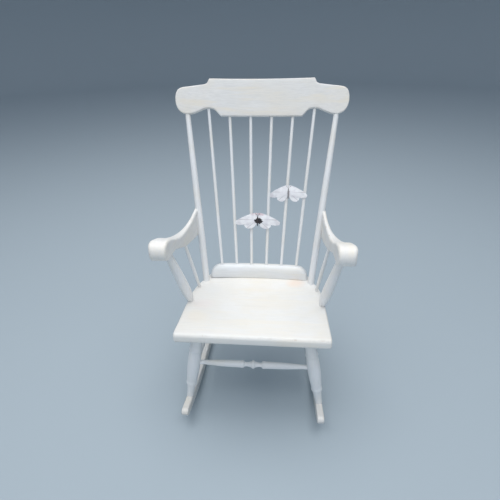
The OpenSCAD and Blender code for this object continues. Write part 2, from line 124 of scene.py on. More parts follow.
class Graph:
    """Short names for the nodes that the materials share."""

    def __init__(self, name):
        self.mat = bpy.data.materials.new(name)
        self.mat.use_nodes = True
        self.tree = self.mat.node_tree
        self.shader = self.tree.nodes["Principled BSDF"]

    def node(self, kind, **settings):
        made = self.tree.nodes.new(kind)
        for key, value in settings.items():
            setattr(made, key, value)
        return made

    def link(self, a, b):
        self.tree.links.new(a, b)

    def place(self, scale):
        """Position in the chair's frame, scaled."""
        coord = self.node("ShaderNodeTexCoord")
        mapping = self.node("ShaderNodeMapping")
        mapping.inputs["Scale"].default_value = scale
        self.link(coord.outputs["Object"], mapping.inputs["Vector"])
        return mapping.outputs["Vector"]

    def noise(self, vector, scale, detail=3.0, rough=0.5):
        made = self.node("ShaderNodeTexNoise")
        made.inputs["Scale"].default_value = scale
        made.inputs["Detail"].default_value = detail
        made.inputs["Roughness"].default_value = rough
        self.link(vector, made.inputs["Vector"])
        return made.outputs["Fac"]

    def ramp(self, value, low, high, start=0.0, end=1.0):
        """value from low..high, mapped to start..end."""
        made = self.node("ShaderNodeMapRange", clamp=True)
        self.link(value, made.inputs["Value"])
        ends = {"From Min": low, "From Max": high, "To Min": start, "To Max": end}
        for key, number in ends.items():
            made.inputs[key].default_value = number
        return made.outputs["Result"]

    def math(self, how, a, b):
        made = self.node("ShaderNodeMath", operation=how)
        for i, item in enumerate((a, b)):
            if isinstance(item, (int, float)):
                made.inputs[i].default_value = item
            else:
                self.link(item, made.inputs[i])
        return made.outputs[0]

    def mix(self, fac, a, b):
        """Colour a where fac is 0 and b where it is 1."""
        made = self.node("ShaderNodeMix", data_type="RGBA")
        self.link(fac, made.inputs[0])
        for i, item in ((6, a), (7, b)):
            if isinstance(item, tuple):
                made.inputs[i].default_value = (*item, 1)
            else:
                self.link(item, made.inputs[i])
        return made.outputs[2]

    def attribute(self, name):
        return self.node("ShaderNodeAttribute", attribute_name=name).outputs["Fac"]

    def bump(self, height, strength, distance, after=None):
        made = self.node("ShaderNodeBump")
        made.inputs["Strength"].default_value = strength
        made.inputs["Distance"].default_value = distance
        self.link(height, made.inputs["Height"])
        if after is not None:
            self.link(after, made.inputs["Normal"])
        return made.outputs["Normal"]


def edge_of(g, radius):
    """1 on sharp edges of the shape, 0 on its flats."""
    bevel = g.node("ShaderNodeBevel", samples=4)
    bevel.inputs["Radius"].default_value = radius
    geometry = g.node("ShaderNodeNewGeometry")
    dot = g.node("ShaderNodeVectorMath", operation="DOT_PRODUCT")
    g.link(bevel.outputs["Normal"], dot.inputs[0])
    g.link(geometry.outputs["Normal"], dot.inputs[1])
    return g.ramp(dot.outputs["Value"], 0.98, 0.80)


def turned_edges(g):
    """Sharp edges of a turned piece, which has no edge attribute."""
    return edge_of(g, 0.0015)


def tone(colour, factors):
    return tuple(c * k for c, k in zip(colour, factors))


def paint(name, colour, stretch, worn=0.5, brushed=1.0, edges=None, marks=None):
    """White satin paint brushed over wood. stretch is small along the brush strokes, and
    brushed is how clearly they show. worn is how far the edges are rubbed through, edges finds
    them where the piece has no edge attribute, and marks adds tinted patches and painted shade to
    the colour."""
    g = Graph(name)
    plain = g.place((1, 1, 1))
    along = g.place(stretch)
    clouds = g.noise(plain, 9.0, 3.0)
    strokes = g.noise(along, 260.0, 4.0, 0.6)
    grain = g.noise(along, 90.0, 6.0, 0.65)
    warm = tone(colour, (0.985, 0.955, 0.895))
    cool = tone(colour, (0.965, 0.975, 0.985))
    furrow = tone(colour, (0.80, 0.80, 0.80))
    line = tone(colour, (0.74, 0.74, 0.74))
    cream = tone(colour, (1.0, 0.94, 0.83))
    base = g.mix(g.ramp(clouds, 0.40, 0.68), colour, warm)
    base = g.mix(g.ramp(g.noise(plain, 4.3, 2.0), 0.48, 0.72), base, cool)
    # brush marks hold a little dirt in their furrows
    base = g.mix(g.ramp(strokes, 0.62, 0.40, 0.0, 0.16 * brushed), base, furrow)
    # the grain of the wood telegraphs through the coat as faint darker lines
    base = g.mix(g.ramp(grain, 0.54, 0.70, 0.0, 0.15 * brushed), base, line)
    # long streaks where the coat is thicker and has yellowed
    streak = g.noise(along, 34.0, 3.0, 0.6)
    base = g.mix(g.ramp(streak, 0.52, 0.70, 0.0, 0.40 * brushed), base, cream)
    # grime spots
    spots = g.noise(plain, 75.0, 4.0, 0.7)
    base = g.mix(g.ramp(spots, 0.66, 0.78, 0.0, 0.30), base, (0.50, 0.47, 0.42))
    if marks is not None:
        base = marks(g, base, clouds)
    # wear: the coat rubs through to primer, then to wood, in broken patches along edges
    edge = g.attribute("edge") if edges is None else edges(g)
    broken = g.noise(plain, 42.0, 5.0, 0.7)
    rub = g.math("MULTIPLY", edge, g.ramp(broken, 0.46, 0.66))
    base = g.mix(g.ramp(rub, 0.15, 0.60, 0.0, 0.55 * worn), base, (0.62, 0.59, 0.54))
    bare = g.ramp(rub, 0.78, 0.92, 0.0, worn)
    wood = g.mix(g.ramp(grain, 0.35, 0.70), (0.52, 0.36, 0.21), (0.30, 0.19, 0.10))
    base = g.mix(bare, base, wood)
    g.link(base, g.shader.inputs["Base Color"])
    rough = g.ramp(g.noise(plain, 24.0, 4.0), 0.30, 0.75, 0.36, 0.54)
    rough = g.math("ADD", rough, g.math("MULTIPLY", g.ramp(rub, 0.1, 0.9), 0.25))
    g.link(rough, g.shader.inputs["Roughness"])
    g.shader.inputs["Specular IOR Level"].default_value = 0.42
    g.shader.inputs["Coat Weight"].default_value = 0.10
    g.shader.inputs["Coat Roughness"].default_value = 0.30
    chip = g.bump(g.ramp(rub, 0.74, 0.86, 1.0, 0.0), 0.45, 0.0006)
    wave = g.bump(grain, 0.28, 0.0008, chip)
    g.link(g.bump(strokes, 0.22, 0.0004, wave), g.shader.inputs["Normal"])
    return g.mat


def patch(g, x, y, centre, clouds, size):
    """1 in a soft ragged patch around centre, in plan."""
    off_x = g.math("MULTIPLY", g.math("SUBTRACT", x, centre[0]), 0.8)
    off_y = g.math("SUBTRACT", y, FRONT_Y + centre[1])
    square = g.math("ADD", g.math("MULTIPLY", off_x, off_x), g.math("MULTIPLY", off_y, off_y))
    ragged = g.math("SUBTRACT", g.math("SQRT", square, 0), g.math("MULTIPLY", clouds, 0.035))
    return g.ramp(ragged, size, -0.006)


# faint tinted patches on the seat, a peach one at the right rear and two at the left front:
# centre right of the middle and behind the front edge, size, colour, weight
SEAT_PATCHES = (((0.148, 0.343), 0.020, (0.88, 0.74, 0.64), 0.75),
          ((-0.196, 0.100), 0.026, (0.87, 0.79, 0.66), 0.35),
          ((-0.188, 0.180), 0.022, (0.86, 0.76, 0.74), 0.30))


def seat_marks(g, base, clouds):
    """Faint tinted patches on the top of the seat, and painted shade in the corner between seat and
    roll.
    """
    split = g.node("ShaderNodeSeparateXYZ")
    g.link(g.place((1, 1, 1)), split.inputs[0])
    x, y, z = split.outputs
    # height above the seat's sloping top
    top = g.math("SUBTRACT", SEAT_H + FRONT_Y * tan(TILT), g.math("MULTIPLY", y, tan(TILT)))
    up = g.math("SUBTRACT", z, top)
    above = g.ramp(up, -0.009, -0.004)
    low = g.math("MULTIPLY", g.ramp(up, 0.004, 0.001), above)
    for centre, size, colour, weight in SEAT_PATCHES:
        spot = g.math("MULTIPLY", patch(g, x, y, centre, clouds, size), weight)
        base = g.mix(g.math("MULTIPLY", spot, low), base, colour)
    # distance from the roll's sides
    bent = g.math("MULTIPLY", g.math("MULTIPLY", x, x), 0.5 / ROLL["bend"])
    middle = g.math("SUBTRACT", FRONT_Y + ROLL["y"] * cos(TILT), bent)
    off = g.math("ABSOLUTE", g.math("SUBTRACT", y, middle), 0)
    out = g.math("SUBTRACT", off, ROLL["thick"] / 2)
    corner = g.math("MULTIPLY", g.ramp(out, 0.0045, 0.0008), g.ramp(up, 0.0045, 0.0008))
    corner = g.math("MULTIPLY", corner, above)
    corner = g.math("MULTIPLY", corner, g.ramp(g.math("ABSOLUTE", x, 0), 0.196, 0.188))
    # painted shade: a grey line along the joint between seat and roll, strongest at its left end
    joint_shade = g.math("MULTIPLY", corner, g.ramp(x, -0.06, -0.15, 0.06, 0.75))
    joint_shade = g.math("MULTIPLY", joint_shade, g.ramp(clouds, 0.30, 0.60, 0.45, 0.95))
    return g.mix(joint_shade, base, (0.34, 0.33, 0.32))


def bare_wood():
    """Unpainted beech, with its grain along the pin."""
    g = Graph("bare_wood")
    along = g.place((1, 1, 0.12))
    grain = g.noise(along, 320.0, 5.0, 0.6)
    base = g.mix(g.ramp(grain, 0.35, 0.70), (0.58, 0.41, 0.25), (0.40, 0.26, 0.14))
    g.link(base, g.shader.inputs["Base Color"])
    g.link(g.ramp(grain, 0.3, 0.7, 0.55, 0.75), g.shader.inputs["Roughness"])
    g.link(g.bump(grain, 0.35, 0.0004), g.shader.inputs["Normal"])
    return g.mat


def screw_steel():
    """Steel with fine scratches."""
    g = Graph("screw_steel")
    scratch = g.noise(g.place((1, 1, 0.2)), 900.0, 3.0)
    g.link(g.mix(g.ramp(scratch, 0.4, 0.7), (0.56, 0.56, 0.58), (0.40, 0.39, 0.38)),
           g.shader.inputs["Base Color"])
    g.shader.inputs["Metallic"].default_value = 1.0
    g.link(g.ramp(scratch, 0.3, 0.7, 0.28, 0.45), g.shader.inputs["Roughness"])
    g.link(g.bump(scratch, 0.15, 0.0002), g.shader.inputs["Normal"])
    return g.mat


def wing_sheet(name, blush):
    """Thin matt sheet: near white, with veins, a soft dark root of painted shade and a tinted upper
    edge.
    """
    g = Graph(name)
    plain = g.place((1, 1, 1))
    clouds = g.noise(plain, 55.0, 4.0)
    base = g.mix(g.ramp(clouds, 0.40, 0.66), (0.93, 0.93, 0.95), (0.80, 0.79, 0.83))
    base = g.mix(g.ramp(g.attribute("vein"), 0.55, 0.95, 0.0, 0.55), base, (0.42, 0.40, 0.42))
    tint = g.math("MULTIPLY", g.attribute("tint"), g.ramp(g.noise(plain, 38.0, 3.0), 0.42, 0.60))
    base = g.mix(g.ramp(tint, 0.1, 0.9, 0.0, blush), base, (0.60, 0.40, 0.44))
    # dark root: painted shade round the body, partly the lower one's own marking, ragged edged
    ragged = g.ramp(g.noise(plain, 190.0, 4.0, 0.7), 0.30, 0.70, -0.45, 0.45)
    spread = g.attribute("root")
    root = g.math("ADD", spread, g.math("MULTIPLY", ragged, g.ramp(spread, 0.0, 0.2)))
    base = g.mix(g.ramp(root, 0.35, 0.62), base, (0.022, 0.020, 0.026))
    rim = g.math("MULTIPLY", g.attribute("rim"), g.ramp(clouds, 0.35, 0.60, 0.2, 0.9))
    base = g.mix(g.ramp(rim, 0.2, 1.0, 0.0, 0.40), base, (0.55, 0.52, 0.55))
    g.link(base, g.shader.inputs["Base Color"])
    g.link(g.ramp(clouds, 0.3, 0.7, 0.48, 0.66), g.shader.inputs["Roughness"])
    g.link(g.bump(g.attribute("vein"), 0.5, 0.0004), g.shader.inputs["Normal"])
    return g.mat


def ornament_body(name, dark, light):
    """Fuzzy matt body between two tones."""
    g = Graph(name)
    fuzz = g.noise(g.place((1, 1, 0.4)), 700.0, 4.0)
    g.link(g.mix(g.ramp(fuzz, 0.35, 0.70), dark, light), g.shader.inputs["Base Color"])
    g.link(g.ramp(fuzz, 0.3, 0.7, 0.5, 0.75), g.shader.inputs["Roughness"])
    g.link(g.bump(fuzz, 0.5, 0.0005), g.shader.inputs["Normal"])
    return g.mat


def ornament_clip():
    """White moulded plastic, slightly flecked."""
    g = Graph("ornament_clip")
    fleck = g.noise(g.place((1, 1, 1)), 420.0, 3.0)
    g.link(g.mix(g.ramp(fleck, 0.4, 0.7), (0.78, 0.78, 0.78), (0.68, 0.68, 0.69)),
           g.shader.inputs["Base Color"])
    g.link(g.ramp(fleck, 0.3, 0.7, 0.38, 0.52), g.shader.inputs["Roughness"])
    g.link(g.bump(fleck, 0.2, 0.0002), g.shader.inputs["Normal"])
    return g.mat


# ---- mesh helpers ------------------------------------------------------------------------

def finish_piece(bm, name, material, node_names, marks=None):
    """Makes the piece from bm. marks maps an attribute's name to one value per vertex."""
    bmesh.ops.recalc_face_normals(bm, faces=bm.faces)
    mesh = bpy.data.meshes.new(name)
    bm.to_mesh(mesh)
    bm.free()
    for key, values in (marks or {}).items():
        layer = mesh.attributes.new(key, "FLOAT", "POINT")
        layer.data.foreach_set("value", values)
    for face in mesh.polygons:
        face.use_smooth = True
    mesh.materials.append(material)
    piece = bpy.data.objects.new(name, mesh)
    bpy.context.collection.objects.link(piece)
    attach(piece, "root")
    if node_names:
        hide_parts(*node_names)


def resample(points, count):
    """count points, evenly spaced along the polyline."""
    dist = [0.0]
    for a, b in zip(points, points[1:]):
        dist.append(dist[-1] + hypot(b[0] - a[0], b[1] - a[1]))
    out, k = [], 0
    for i in range(count):
        want = dist[-1] * (i / (count - 1))
        while k < len(dist) - 2 and dist[k + 1] < want:
            k += 1
        span = dist[k + 1] - dist[k] or 1.0
        f = min(1.0, max(0.0, (want - dist[k]) / span))
        a, b = points[k], points[k + 1]
        out.append((a[0] + (b[0] - a[0]) * f, a[1] + (b[1] - a[1]) * f))
    return out


def inset(loop, distance):
    """The closed loop moved inwards, with sharp corners limited."""
    area = sum(a[0] * b[1] - b[0] * a[1] for a, b in zip(loop, loop[1:] + loop[:1]))
    sense = 1 if area > 0 else -1
    out, n = [], len(loop)
    for i in range(n):
        a, p, b = loop[i - 1], loop[i], loop[(i + 1) % n]
        e = Vector((p[0] - a[0], p[1] - a[1]))
        f = Vector((b[0] - p[0], b[1] - p[1]))
        e = e.normalized() if e.length > 1e-9 else f.normalized()
        f = f.normalized() if f.length > 1e-9 else e
        normal = Vector((-(e.y + f.y), e.x + f.x))
        if normal.length < 1e-6:
            normal = Vector((f.x, f.y)) * -1
        normal.normalize()
        stretch = 1 / max(0.6, abs(normal.dot(Vector((-f.y, f.x)))))
        move = normal * sense * distance * stretch
        out.append((p[0] + move.x, p[1] + move.y))
    return out


def plank(first, second, place, radius, name, material, node_names, rows, extra=None):
    """A board between two edge lines with the same number of points, thick along c = -1..1,
    with rounded rims. place(a, b, c) gives the world point, and radius is (inset of the outline,
    share of the half thickness that is rounded). rows is how many faces lie between the two
    edges. extra gives more attributes."""
    depth, share = radius
    count = len(first)

    def between(p, q, t):
        return (p[0] + (q[0] - p[0]) * t, p[1] + (q[1] - p[1]) * t)

    # the loop runs along first, down the far end, back along second and up the near end
    far = [between(first[-1], second[-1], k / rows) for k in range(1, rows)]
    near = [between(second[0], first[0], k / rows) for k in range(1, rows)]
    loop = first + far + second[::-1] + near
    n = len(loop)
    steps = 6
    rings = []
    for i in range(steps + 1):
        a = pi / 2 * i / steps
        rings.append((inset(loop, depth * (1 - sin(a))), 1 - share * (1 - cos(a)), sin(2 * a) ** 2))
    side = [(loop, (1 - share) * t, 0.0) for t in (0.5, 0.0, -0.5)]
    everything = rings + side + [(pts, -c, mark) for pts, c, mark in reversed(rings)]
    bm = bmesh.new()
    marks, made = [], []
    for pts, c, mark in everything:
        made.append([bm.verts.new(place(p[0], p[1], c)) for p in pts])
        marks += [mark] * n
    for r0, r1 in zip(made, made[1:]):
        for i in range(n):
            j = (i + 1) % n
            bm.faces.new((r0[i], r0[j], r1[j], r1[i]))
    for ring, (pts, c, _) in ((made[0], everything[0]), (made[-1], everything[-1])):
        grid = []
        for k in range(rows + 1):
            if k == 0:
                row = ring[:count]
            elif k == rows:
                row = ring[count + rows - 1:2 * count + rows - 1][::-1]
            else:
                # end columns belong to the ring, and the rest lies between them
                top, low = pts[:count], pts[count + rows - 1:2 * count + rows - 1][::-1]
                row = [ring[n - k]]
                for i in range(1, count - 1):
                    p = between(top[i], low[i], k / rows)
                    row.append(bm.verts.new(place(p[0], p[1], c)))
                    marks.append(0.0)
                row.append(ring[count - 1 + k])
            grid.append(row)
        for r0, r1 in zip(grid, grid[1:]):
            for i in range(count - 1):
                bm.faces.new((r0[i], r0[i + 1], r1[i + 1], r1[i]))
    marks = {"edge": marks}
    if extra is not None:
        marks.update(extra())
    finish_piece(bm, name, material, node_names, marks)


def tree_of(name):
    """Search tree of a CAD node's surface."""
    return BVHTree.FromPolygons([v.co[:] for v in nodes[name].data.vertices],
                                [p.vertices[:] for p in nodes[name].data.polygons])


def loft(sections, name, material, node_names, marks=None):
    """Skin over closed sections, each a list of points with the same count, with both ends
    closed."""
    bm = bmesh.new()
    made = [[bm.verts.new(p) for p in section] for section in sections]
    n = len(sections[0])
    for r0, r1 in zip(made, made[1:]):
        for i in range(n):
            j = (i + 1) % n
            bm.faces.new((r0[i], r0[j], r1[j], r1[i]))
    bm.faces.new(made[0])
    bm.faces.new(made[-1])
    finish_piece(bm, name, material, node_names, marks)


# ---- the chair's measures, as in the CAD model, in metres --------------------------------

LEAN = radians(19.7)
TILT = radians(3.9)
FRONT_Y = -0.329                                # the seat's front edge
SEAT_H, SEAT_T, SEAT_D = 0.401, 0.036, 0.425
SEAT_CORNERS = (0.254 - 0.007, 0.254 - 0.057 - 0.028)      # where the front and rear corners begin
ROLL = {"y": 0.395, "bend": 1.748, "height": 0.051, "thick": 0.046, "half": 0.192,
        "corner_w": 0.044, "corner_h": 0.043}
CREST = {"y": FRONT_Y + 0.581, "z": 0.955, "h": 0.130, "half": 0.312, "bend": 1.556,
         "thick": 0.024}
# edges of the crest rail's right half, as in the CAD model, in millimetres
NOTCH = [(150, 0), (157, 7), (165, 16), (173, 23), (182, 26.5), (193, 27.5), (204, 26.5),
         (213, 23.5), (225, 18), (237, 13), (250, 8)]
EAR = [(46, 5), (31, 6.5), (16, 13.5), (6, 27), (1, 43), (0, 59), (2, 74), (7, 86), (16, 94),
       (29, 98.5)]
SHOULDER = [(207, 110), (198, 114.5), (191, 130)]
ROCKER = {"reach": 0.365, "rest": 0.049, "r": 1.100, "top_r": 1.360, "depth": 0.042,
          "mid_x": 0.229, "toe": radians(1.5), "thick": 0.024}


def bend(x, r):
    """Rise of an arc of radius r at the distance x from its lowest point."""
    return r - sqrt(r * r - x * x)


def smooth(points, n=6):
    """Smooth curve through the points, with n steps between each two."""
    out = []
    for i in range(len(points) - 1):
        a, b = points[max(i - 1, 0)], points[i]
        c, d = points[i + 1], points[min(i + 2, len(points) - 1)]
        for k in range(n):
            t = k / n
            out.append(tuple((2 * b[j] + (c[j] - a[j]) * t
                              + (2 * a[j] - 5 * b[j] + 4 * c[j] - d[j]) * t * t
                              + (3 * b[j] - 3 * c[j] + d[j] - a[j]) * t ** 3) / 2
                             for j in range(len(b))))
    out.append(tuple(points[-1]))
    return out


def metres(points):
    """Points given in millimetres, in metres."""
    return [(p / 1000, q / 1000) for p, q in points]


def along(line, y):
    """Value on a line of (value, y) points sorted by y."""
    if y <= line[0][1]:
        return line[0][0]
    for (v0, y0), (v1, y1) in zip(line, line[1:]):
        if y <= y1:
            return v0 + (v1 - v0) * (y - y0) / (y1 - y0)
    return line[-1][0]


def step(x, low, high):
    """0 below low and 1 above high, with a smooth rise between."""
    t = min(1.0, max(0.0, (x - low) / (high - low)))
    return t * t * (3 - 2 * t)


def on_seat(x, y, h):
    """Point y behind the seat's front edge and h above its sloping top."""
    back = FRONT_Y + y * cos(TILT) + h * sin(TILT)
    return Vector((x, back, SEAT_H - y * sin(TILT) + h * cos(TILT)))


# ---- seat --------------------------------------------------------------------------------

def seat_edge():
    """Right edge of the seat, front to rear, read from the CAD solid halfway down its side."""
    tree = tree_of("seat_board")
    out = [(SEAT_CORNERS[0], 0.0)]
    for i in range(1, 60):
        y = SEAT_D * (0.5 - 0.5 * cos(pi * i / 60))
        hit = tree.ray_cast(on_seat(0.6, y, -SEAT_T / 2), Vector((-1, 0, 0)))[0]
        out.append((hit.x, y))
    return out + [(SEAT_CORNERS[1], SEAT_D)]


def make_seat(material):
    """The seat plank, with its edges rounded and its top slightly hollowed."""
    right = seat_edge()
    left = [(-x, y) for x, y in right]
    front_reach = 0.050                         # how far back the rounded front edge reaches

    def place(x, y, c):
        # the front edge is rounded further than the sides
        near = max(0.0, 1 - y / front_reach) ** 2
        y += 1.1 * y * near
        c -= 0.94 * c * (1 - abs(c)) * near
        h = -SEAT_T / 2 + c * SEAT_T / 2
        if c > 0.9:
            # two shallow hollows where a sitter's legs lie, and a low rise between them
            dish = (step(y, 0.05, 0.17) * (1 - step(y, 0.27, 0.365))
                    * (1 - step(abs(x), 0.10, 0.215)))
            rise = (1 - step(abs(x), 0.0, 0.055)) * (1 - step(y, 0.04, 0.22))
            h -= 0.0045 * dish - 0.0012 * rise * dish
        return on_seat(x, y, h)

    plank(right, left, place, (0.0060, 0.40), "seat_plank", material,
          ["seat_board"], rows=30)


def make_roll(material):
    """The raised roll along the seat's rear edge, from sections across it."""
    half, wide, tall, steps = ROLL["half"], ROLL["corner_w"], ROLL["corner_h"], 10
    stations = [half - wide + wide * sin(radians(a)) for a in range(0, 88, 5)]
    middle = [(half - wide) * i / 24 for i in range(24)]
    xs = [-x for x in reversed(middle[1:] + stations)] + middle + stations
    sections, marks = [], []
    for x in xs:
        over = max(0.0, abs(x) - (half - wide)) / wide
        fall = sqrt(max(0.0, 1 - over * over))
        height = ROLL["height"] - tall * (1 - fall)
        thick = ROLL["thick"] / 2 * (0.45 + 0.55 * sqrt(max(0.0, 1 - over ** 5)))
        low = 0.40 * height
        shape = []
        for k in range(5):
            shape.append((thick * (1 - 0.04 * k / 4), -0.001 + low * k / 4, 0.0))
        for k in range(1, 2 * steps):
            a = pi * k / (2 * steps)
            reach = thick * 0.96 * (1 if cos(a) >= 0 else -1) * abs(cos(a)) ** 0.8
            shape.append((reach, low + (height - low) * sin(a) ** 0.8, sin(a) ** 8 * 0.5))
        for k in range(5):
            shape.append((-thick * (0.96 + 0.04 * k / 4), low - (low + 0.001) * k / 4, 0.0))
        y = ROLL["y"] - bend(x, ROLL["bend"])
        sections.append([on_seat(x, y - f, h) for f, h, _ in shape])
        marks += [m + over ** 4 * 0.6 for _, _, m in shape]
    loft(sections, "seat_roll", material, ["seat_rear_roll"], marks={"edge": marks})


# ---- crest rail --------------------------------------------------------------------------

def crest_edges(xs):
    """Upper and lower edge of the crest rail at each of the places xs."""
    ear = [(CREST["half"] * 1000 - d, u) for d, u in EAR]
    line = metres(smooth(NOTCH + ear))
    tip = max(range(len(line)), key=lambda i: line[i][0])
    low = [(q, p) for p, q in [(0.0, 0.0)] + line[:tip + 1]]
    high = [(q / 1000, p / 1000) for p, q in [(0, SHOULDER[-1][1])] + SHOULDER[::-1]]
    high += [(q, p) for p, q in reversed(line[tip:])]
    return [(x, along(high, abs(x))) for x in xs], [(x, along(low, abs(x))) for x in xs]


def on_crest(x, u, front):
    """Point at the height u up the leaning crest rail and front ahead of its bent middle."""
    f = -bend(x, CREST["bend"]) - front
    return Vector((x, CREST["y"] + f * cos(LEAN) + u * sin(LEAN),
                   CREST["z"] - f * sin(LEAN) + u * cos(LEAN)))


def make_crest(material):
    """The crest rail, bent back in the middle, with closer stations at notches and ears."""
    xs = [0.0075 * i for i in range(20)] + [0.150 + 0.0028 * i for i in range(39)]
    xs += [0.2590 + (CREST["half"] - 0.2590) * sin(radians(a)) for a in range(0, 88, 3)]
    xs = [-x for x in reversed(xs[1:])] + xs
    top, low = crest_edges(xs)

    def place(x, u, c):
        return on_crest(x, u, c * CREST["thick"] / 2)

    plank(top, low, place, (0.0036, 0.30), "crest_board", material, ["crest_rail"],
          rows=10)


# ---- arms --------------------------------------------------------------------------------

def make_arm(side, name, node, material):
    """An arm from its side view, top and low, and its top view, inner and outer, in mm."""
    r, cy, cz = 31.0, 68.0, 670.0               # the rolled front end
    start = [(cy - r * cos(radians(a)), cz + r * sin(radians(a))) for a in range(3, 80, 7)]
    top = start + smooth([(cy + 6, cz + r - 0.4), (110, 690), (150, 669), (205, 650), (270, 641),
                          (345, 641), (447, 646)])
    start = [(cy - r * cos(radians(a)), cz - r * sin(radians(a))) for a in range(3, 96, 7)]
    low = start + smooth([(100, 638.5), (139, 633), (190, 610), (250, 584), (330, 564), (409, 544)])
    top = metres(resample(top, 90))
    low = metres(resample(low, 90))
    inner = metres(smooth([(250, 30), (245, 120), (241, 250), (236, 345), (236, 460)]))
    outer = metres(smooth([(297, 30), (305, 62), (298, 105), (280, 180), (261, 270), (252, 345),
                           (250, 400), (250, 460)]))
    share = 0.5
    round_r = 0.0085                            # how far the long edges are rounded

    def place(y, z, c):
        a, b = along(inner, y), along(outer, y)
        half = (b - a) / 2
        own = min(0.9, round_r / half)
        size = abs(c)
        if size > 1 - share:
            size = 1 - own * (1 - size) / share
        else:
            size = (1 - own) * size / (1 - share)
        across = (a + b) / 2 + (size if c > 0 else -size) * half
        return Vector((side * across, FRONT_Y + y, z))

    plank(top, low, place, (0.0075, share), name, material, [node], rows=8)


# ---- rockers -----------------------------------------------------------------------------

def make_rocker(side, name, node, material):
    """A rocker between two arcs, with rounded tips, turned out by the toe angle."""
    reach, rest = ROCKER["reach"], ROCKER["rest"]

    def high(s):
        return ROCKER["depth"] + bend(s + rest, ROCKER["top_r"])

    def base(s):
        return bend(s + rest, ROCKER["r"])

    top, low = [], []
    tip_r = 0.016
    count = 120
    for i in range(count + 1):
        s = -reach + 2 * reach * (0.5 - 0.5 * cos(pi * i / count))
        gap = min(s + reach, reach - s)
        full = 1.0 if gap >= tip_r else sqrt(max(0.0, 1 - (1 - gap / tip_r) ** 2))
        full = max(full, 0.12)
        mid, half = (high(s) + base(s)) / 2, (high(s) - base(s)) / 2
        top.append((s, mid + half * full))
        low.append((s, mid - half * full))
    toe = ROCKER["toe"]

    def place(s, z, c):
        out = c * ROCKER["thick"] / 2
        return Vector((side * (ROCKER["mid_x"] - s * sin(toe)) + out * cos(toe),
                       s * cos(toe) + side * out * sin(toe), z))

    plank(top, low, place, (0.0038, 0.40), name, material, [node], rows=4)


# ---- butterfly ornaments -----------------------------------------------------------------

def on_back(x, u, a, b, n):
    """Point a right, b up and n in front of the place (x, u) in the plane of the spindles."""
    y = CREST["y"] + (u + b) * sin(LEAN) - n * cos(LEAN)
    z = CREST["z"] + (u + b) * cos(LEAN) + n * sin(LEAN)
    return Vector((x + a, y, z))


WING_BACK = 0.009                               # from the spindles' axes to the wings' back
WING_HALF = 0.0004                              # half the thickness of a wing
VEIN_ROOT = 0.004                               # height from which a wing's veins fan out


def make_wing(side, upper, where, width, name, material, node, look):
    """One wing of a butterfly, as a thin sheet that bends up towards its tip. lead and trail are
    its front and rear edges, with a in shares of the wing's width and b in metres."""
    x, u = where
    if upper:
        lead = [(0.001, 0.029), (0.12, 0.029), (0.34, 0.0235), (0.70, 0.0112), (0.92, 0.0003),
                (1.0, -0.0065)]
        trail = [(0.001, -0.003), (0.14, -0.008), (0.38, -0.0132), (0.66, -0.0172),
                 (0.86, -0.0175), (0.965, -0.0150)]
    else:
        lead = [(0.001, 0.001), (0.14, -0.002), (0.30, -0.006), (0.46, -0.011), (0.57, -0.016),
                (0.60, -0.020)]
        trail = [(0.001, -0.0045), (0.07, -0.0150), (0.15, -0.0250), (0.29, -0.0315),
                 (0.45, -0.0315), (0.57, -0.0250)]
    first = resample([(p * width if i else p, q) for i, (p, q) in enumerate(smooth(lead))], 64)
    second = resample([(p * width if i else p, q) for i, (p, q) in enumerate(smooth(trail))], 64)

    def lift(a, b):
        t = a / width
        curl = 0.0052 * t * t + (0.0012 * sin(9 * t + 60 * b)) * t
        cup = 0.0018 * sin(pi * min(1.0, max(0.0, (b + 0.02) / 0.045)))
        return WING_BACK + (0.0016 if upper else 0.0004) + curl + cup

    points = []

    def place(a, b, c):
        points.append((a, b))
        return on_back(x, u, side * a, b, lift(a, b) + c * WING_HALF)

    def marks():
        vein, tint, root, rim = [], [], [], []
        for a, b in points:
            dist = hypot(a, b - VEIN_ROOT)
            mid_a, mid_b, wide, tall = look["root"]
            core = hypot((side * a - mid_a) / wide, (b - mid_b) / tall)
            turn = atan2(b - VEIN_ROOT, a + 1e-6)
            vein.append(max(0.0, cos(turn * look["veins"])) ** 9 * step(dist, 0.010, 0.022))
            tint.append(step(b, 0.012, 0.025) * (1 - step(a / width, 0.18, 0.42)) * look["tint"])
            # root: painted shade round the body, darkest at the middle
            root.append((1 - step(core, 0.45, 1.25)) * look["dark"])
            rim.append(step(dist / width, 0.66, 0.96) if upper else step(-b, 0.022, 0.031))
        return {"vein": vein, "tint": tint, "root": root, "rim": rim}

    plank(first, second, place, (0.0005, 0.6), name, material, [node], rows=28,
          extra=marks)


def tube(points, radii, sides):
    """Sections of a round tube through the points."""
    out = []
    for i, (p, r) in enumerate(zip(points, radii)):
        a, b = points[max(i - 1, 0)], points[min(i + 1, len(points) - 1)]
        d = (b - a).normalized()
        e = d.orthogonal().normalized()
        if abs(d.x) < 0.9:
            e = (Vector((1, 0, 0)) - d * d.x).normalized()
        f = d.cross(e)
        out.append([p + (e * cos(2 * pi * k / sides) + f * sin(2 * pi * k / sides)) * r
                    for k in range(sides)])
    return out


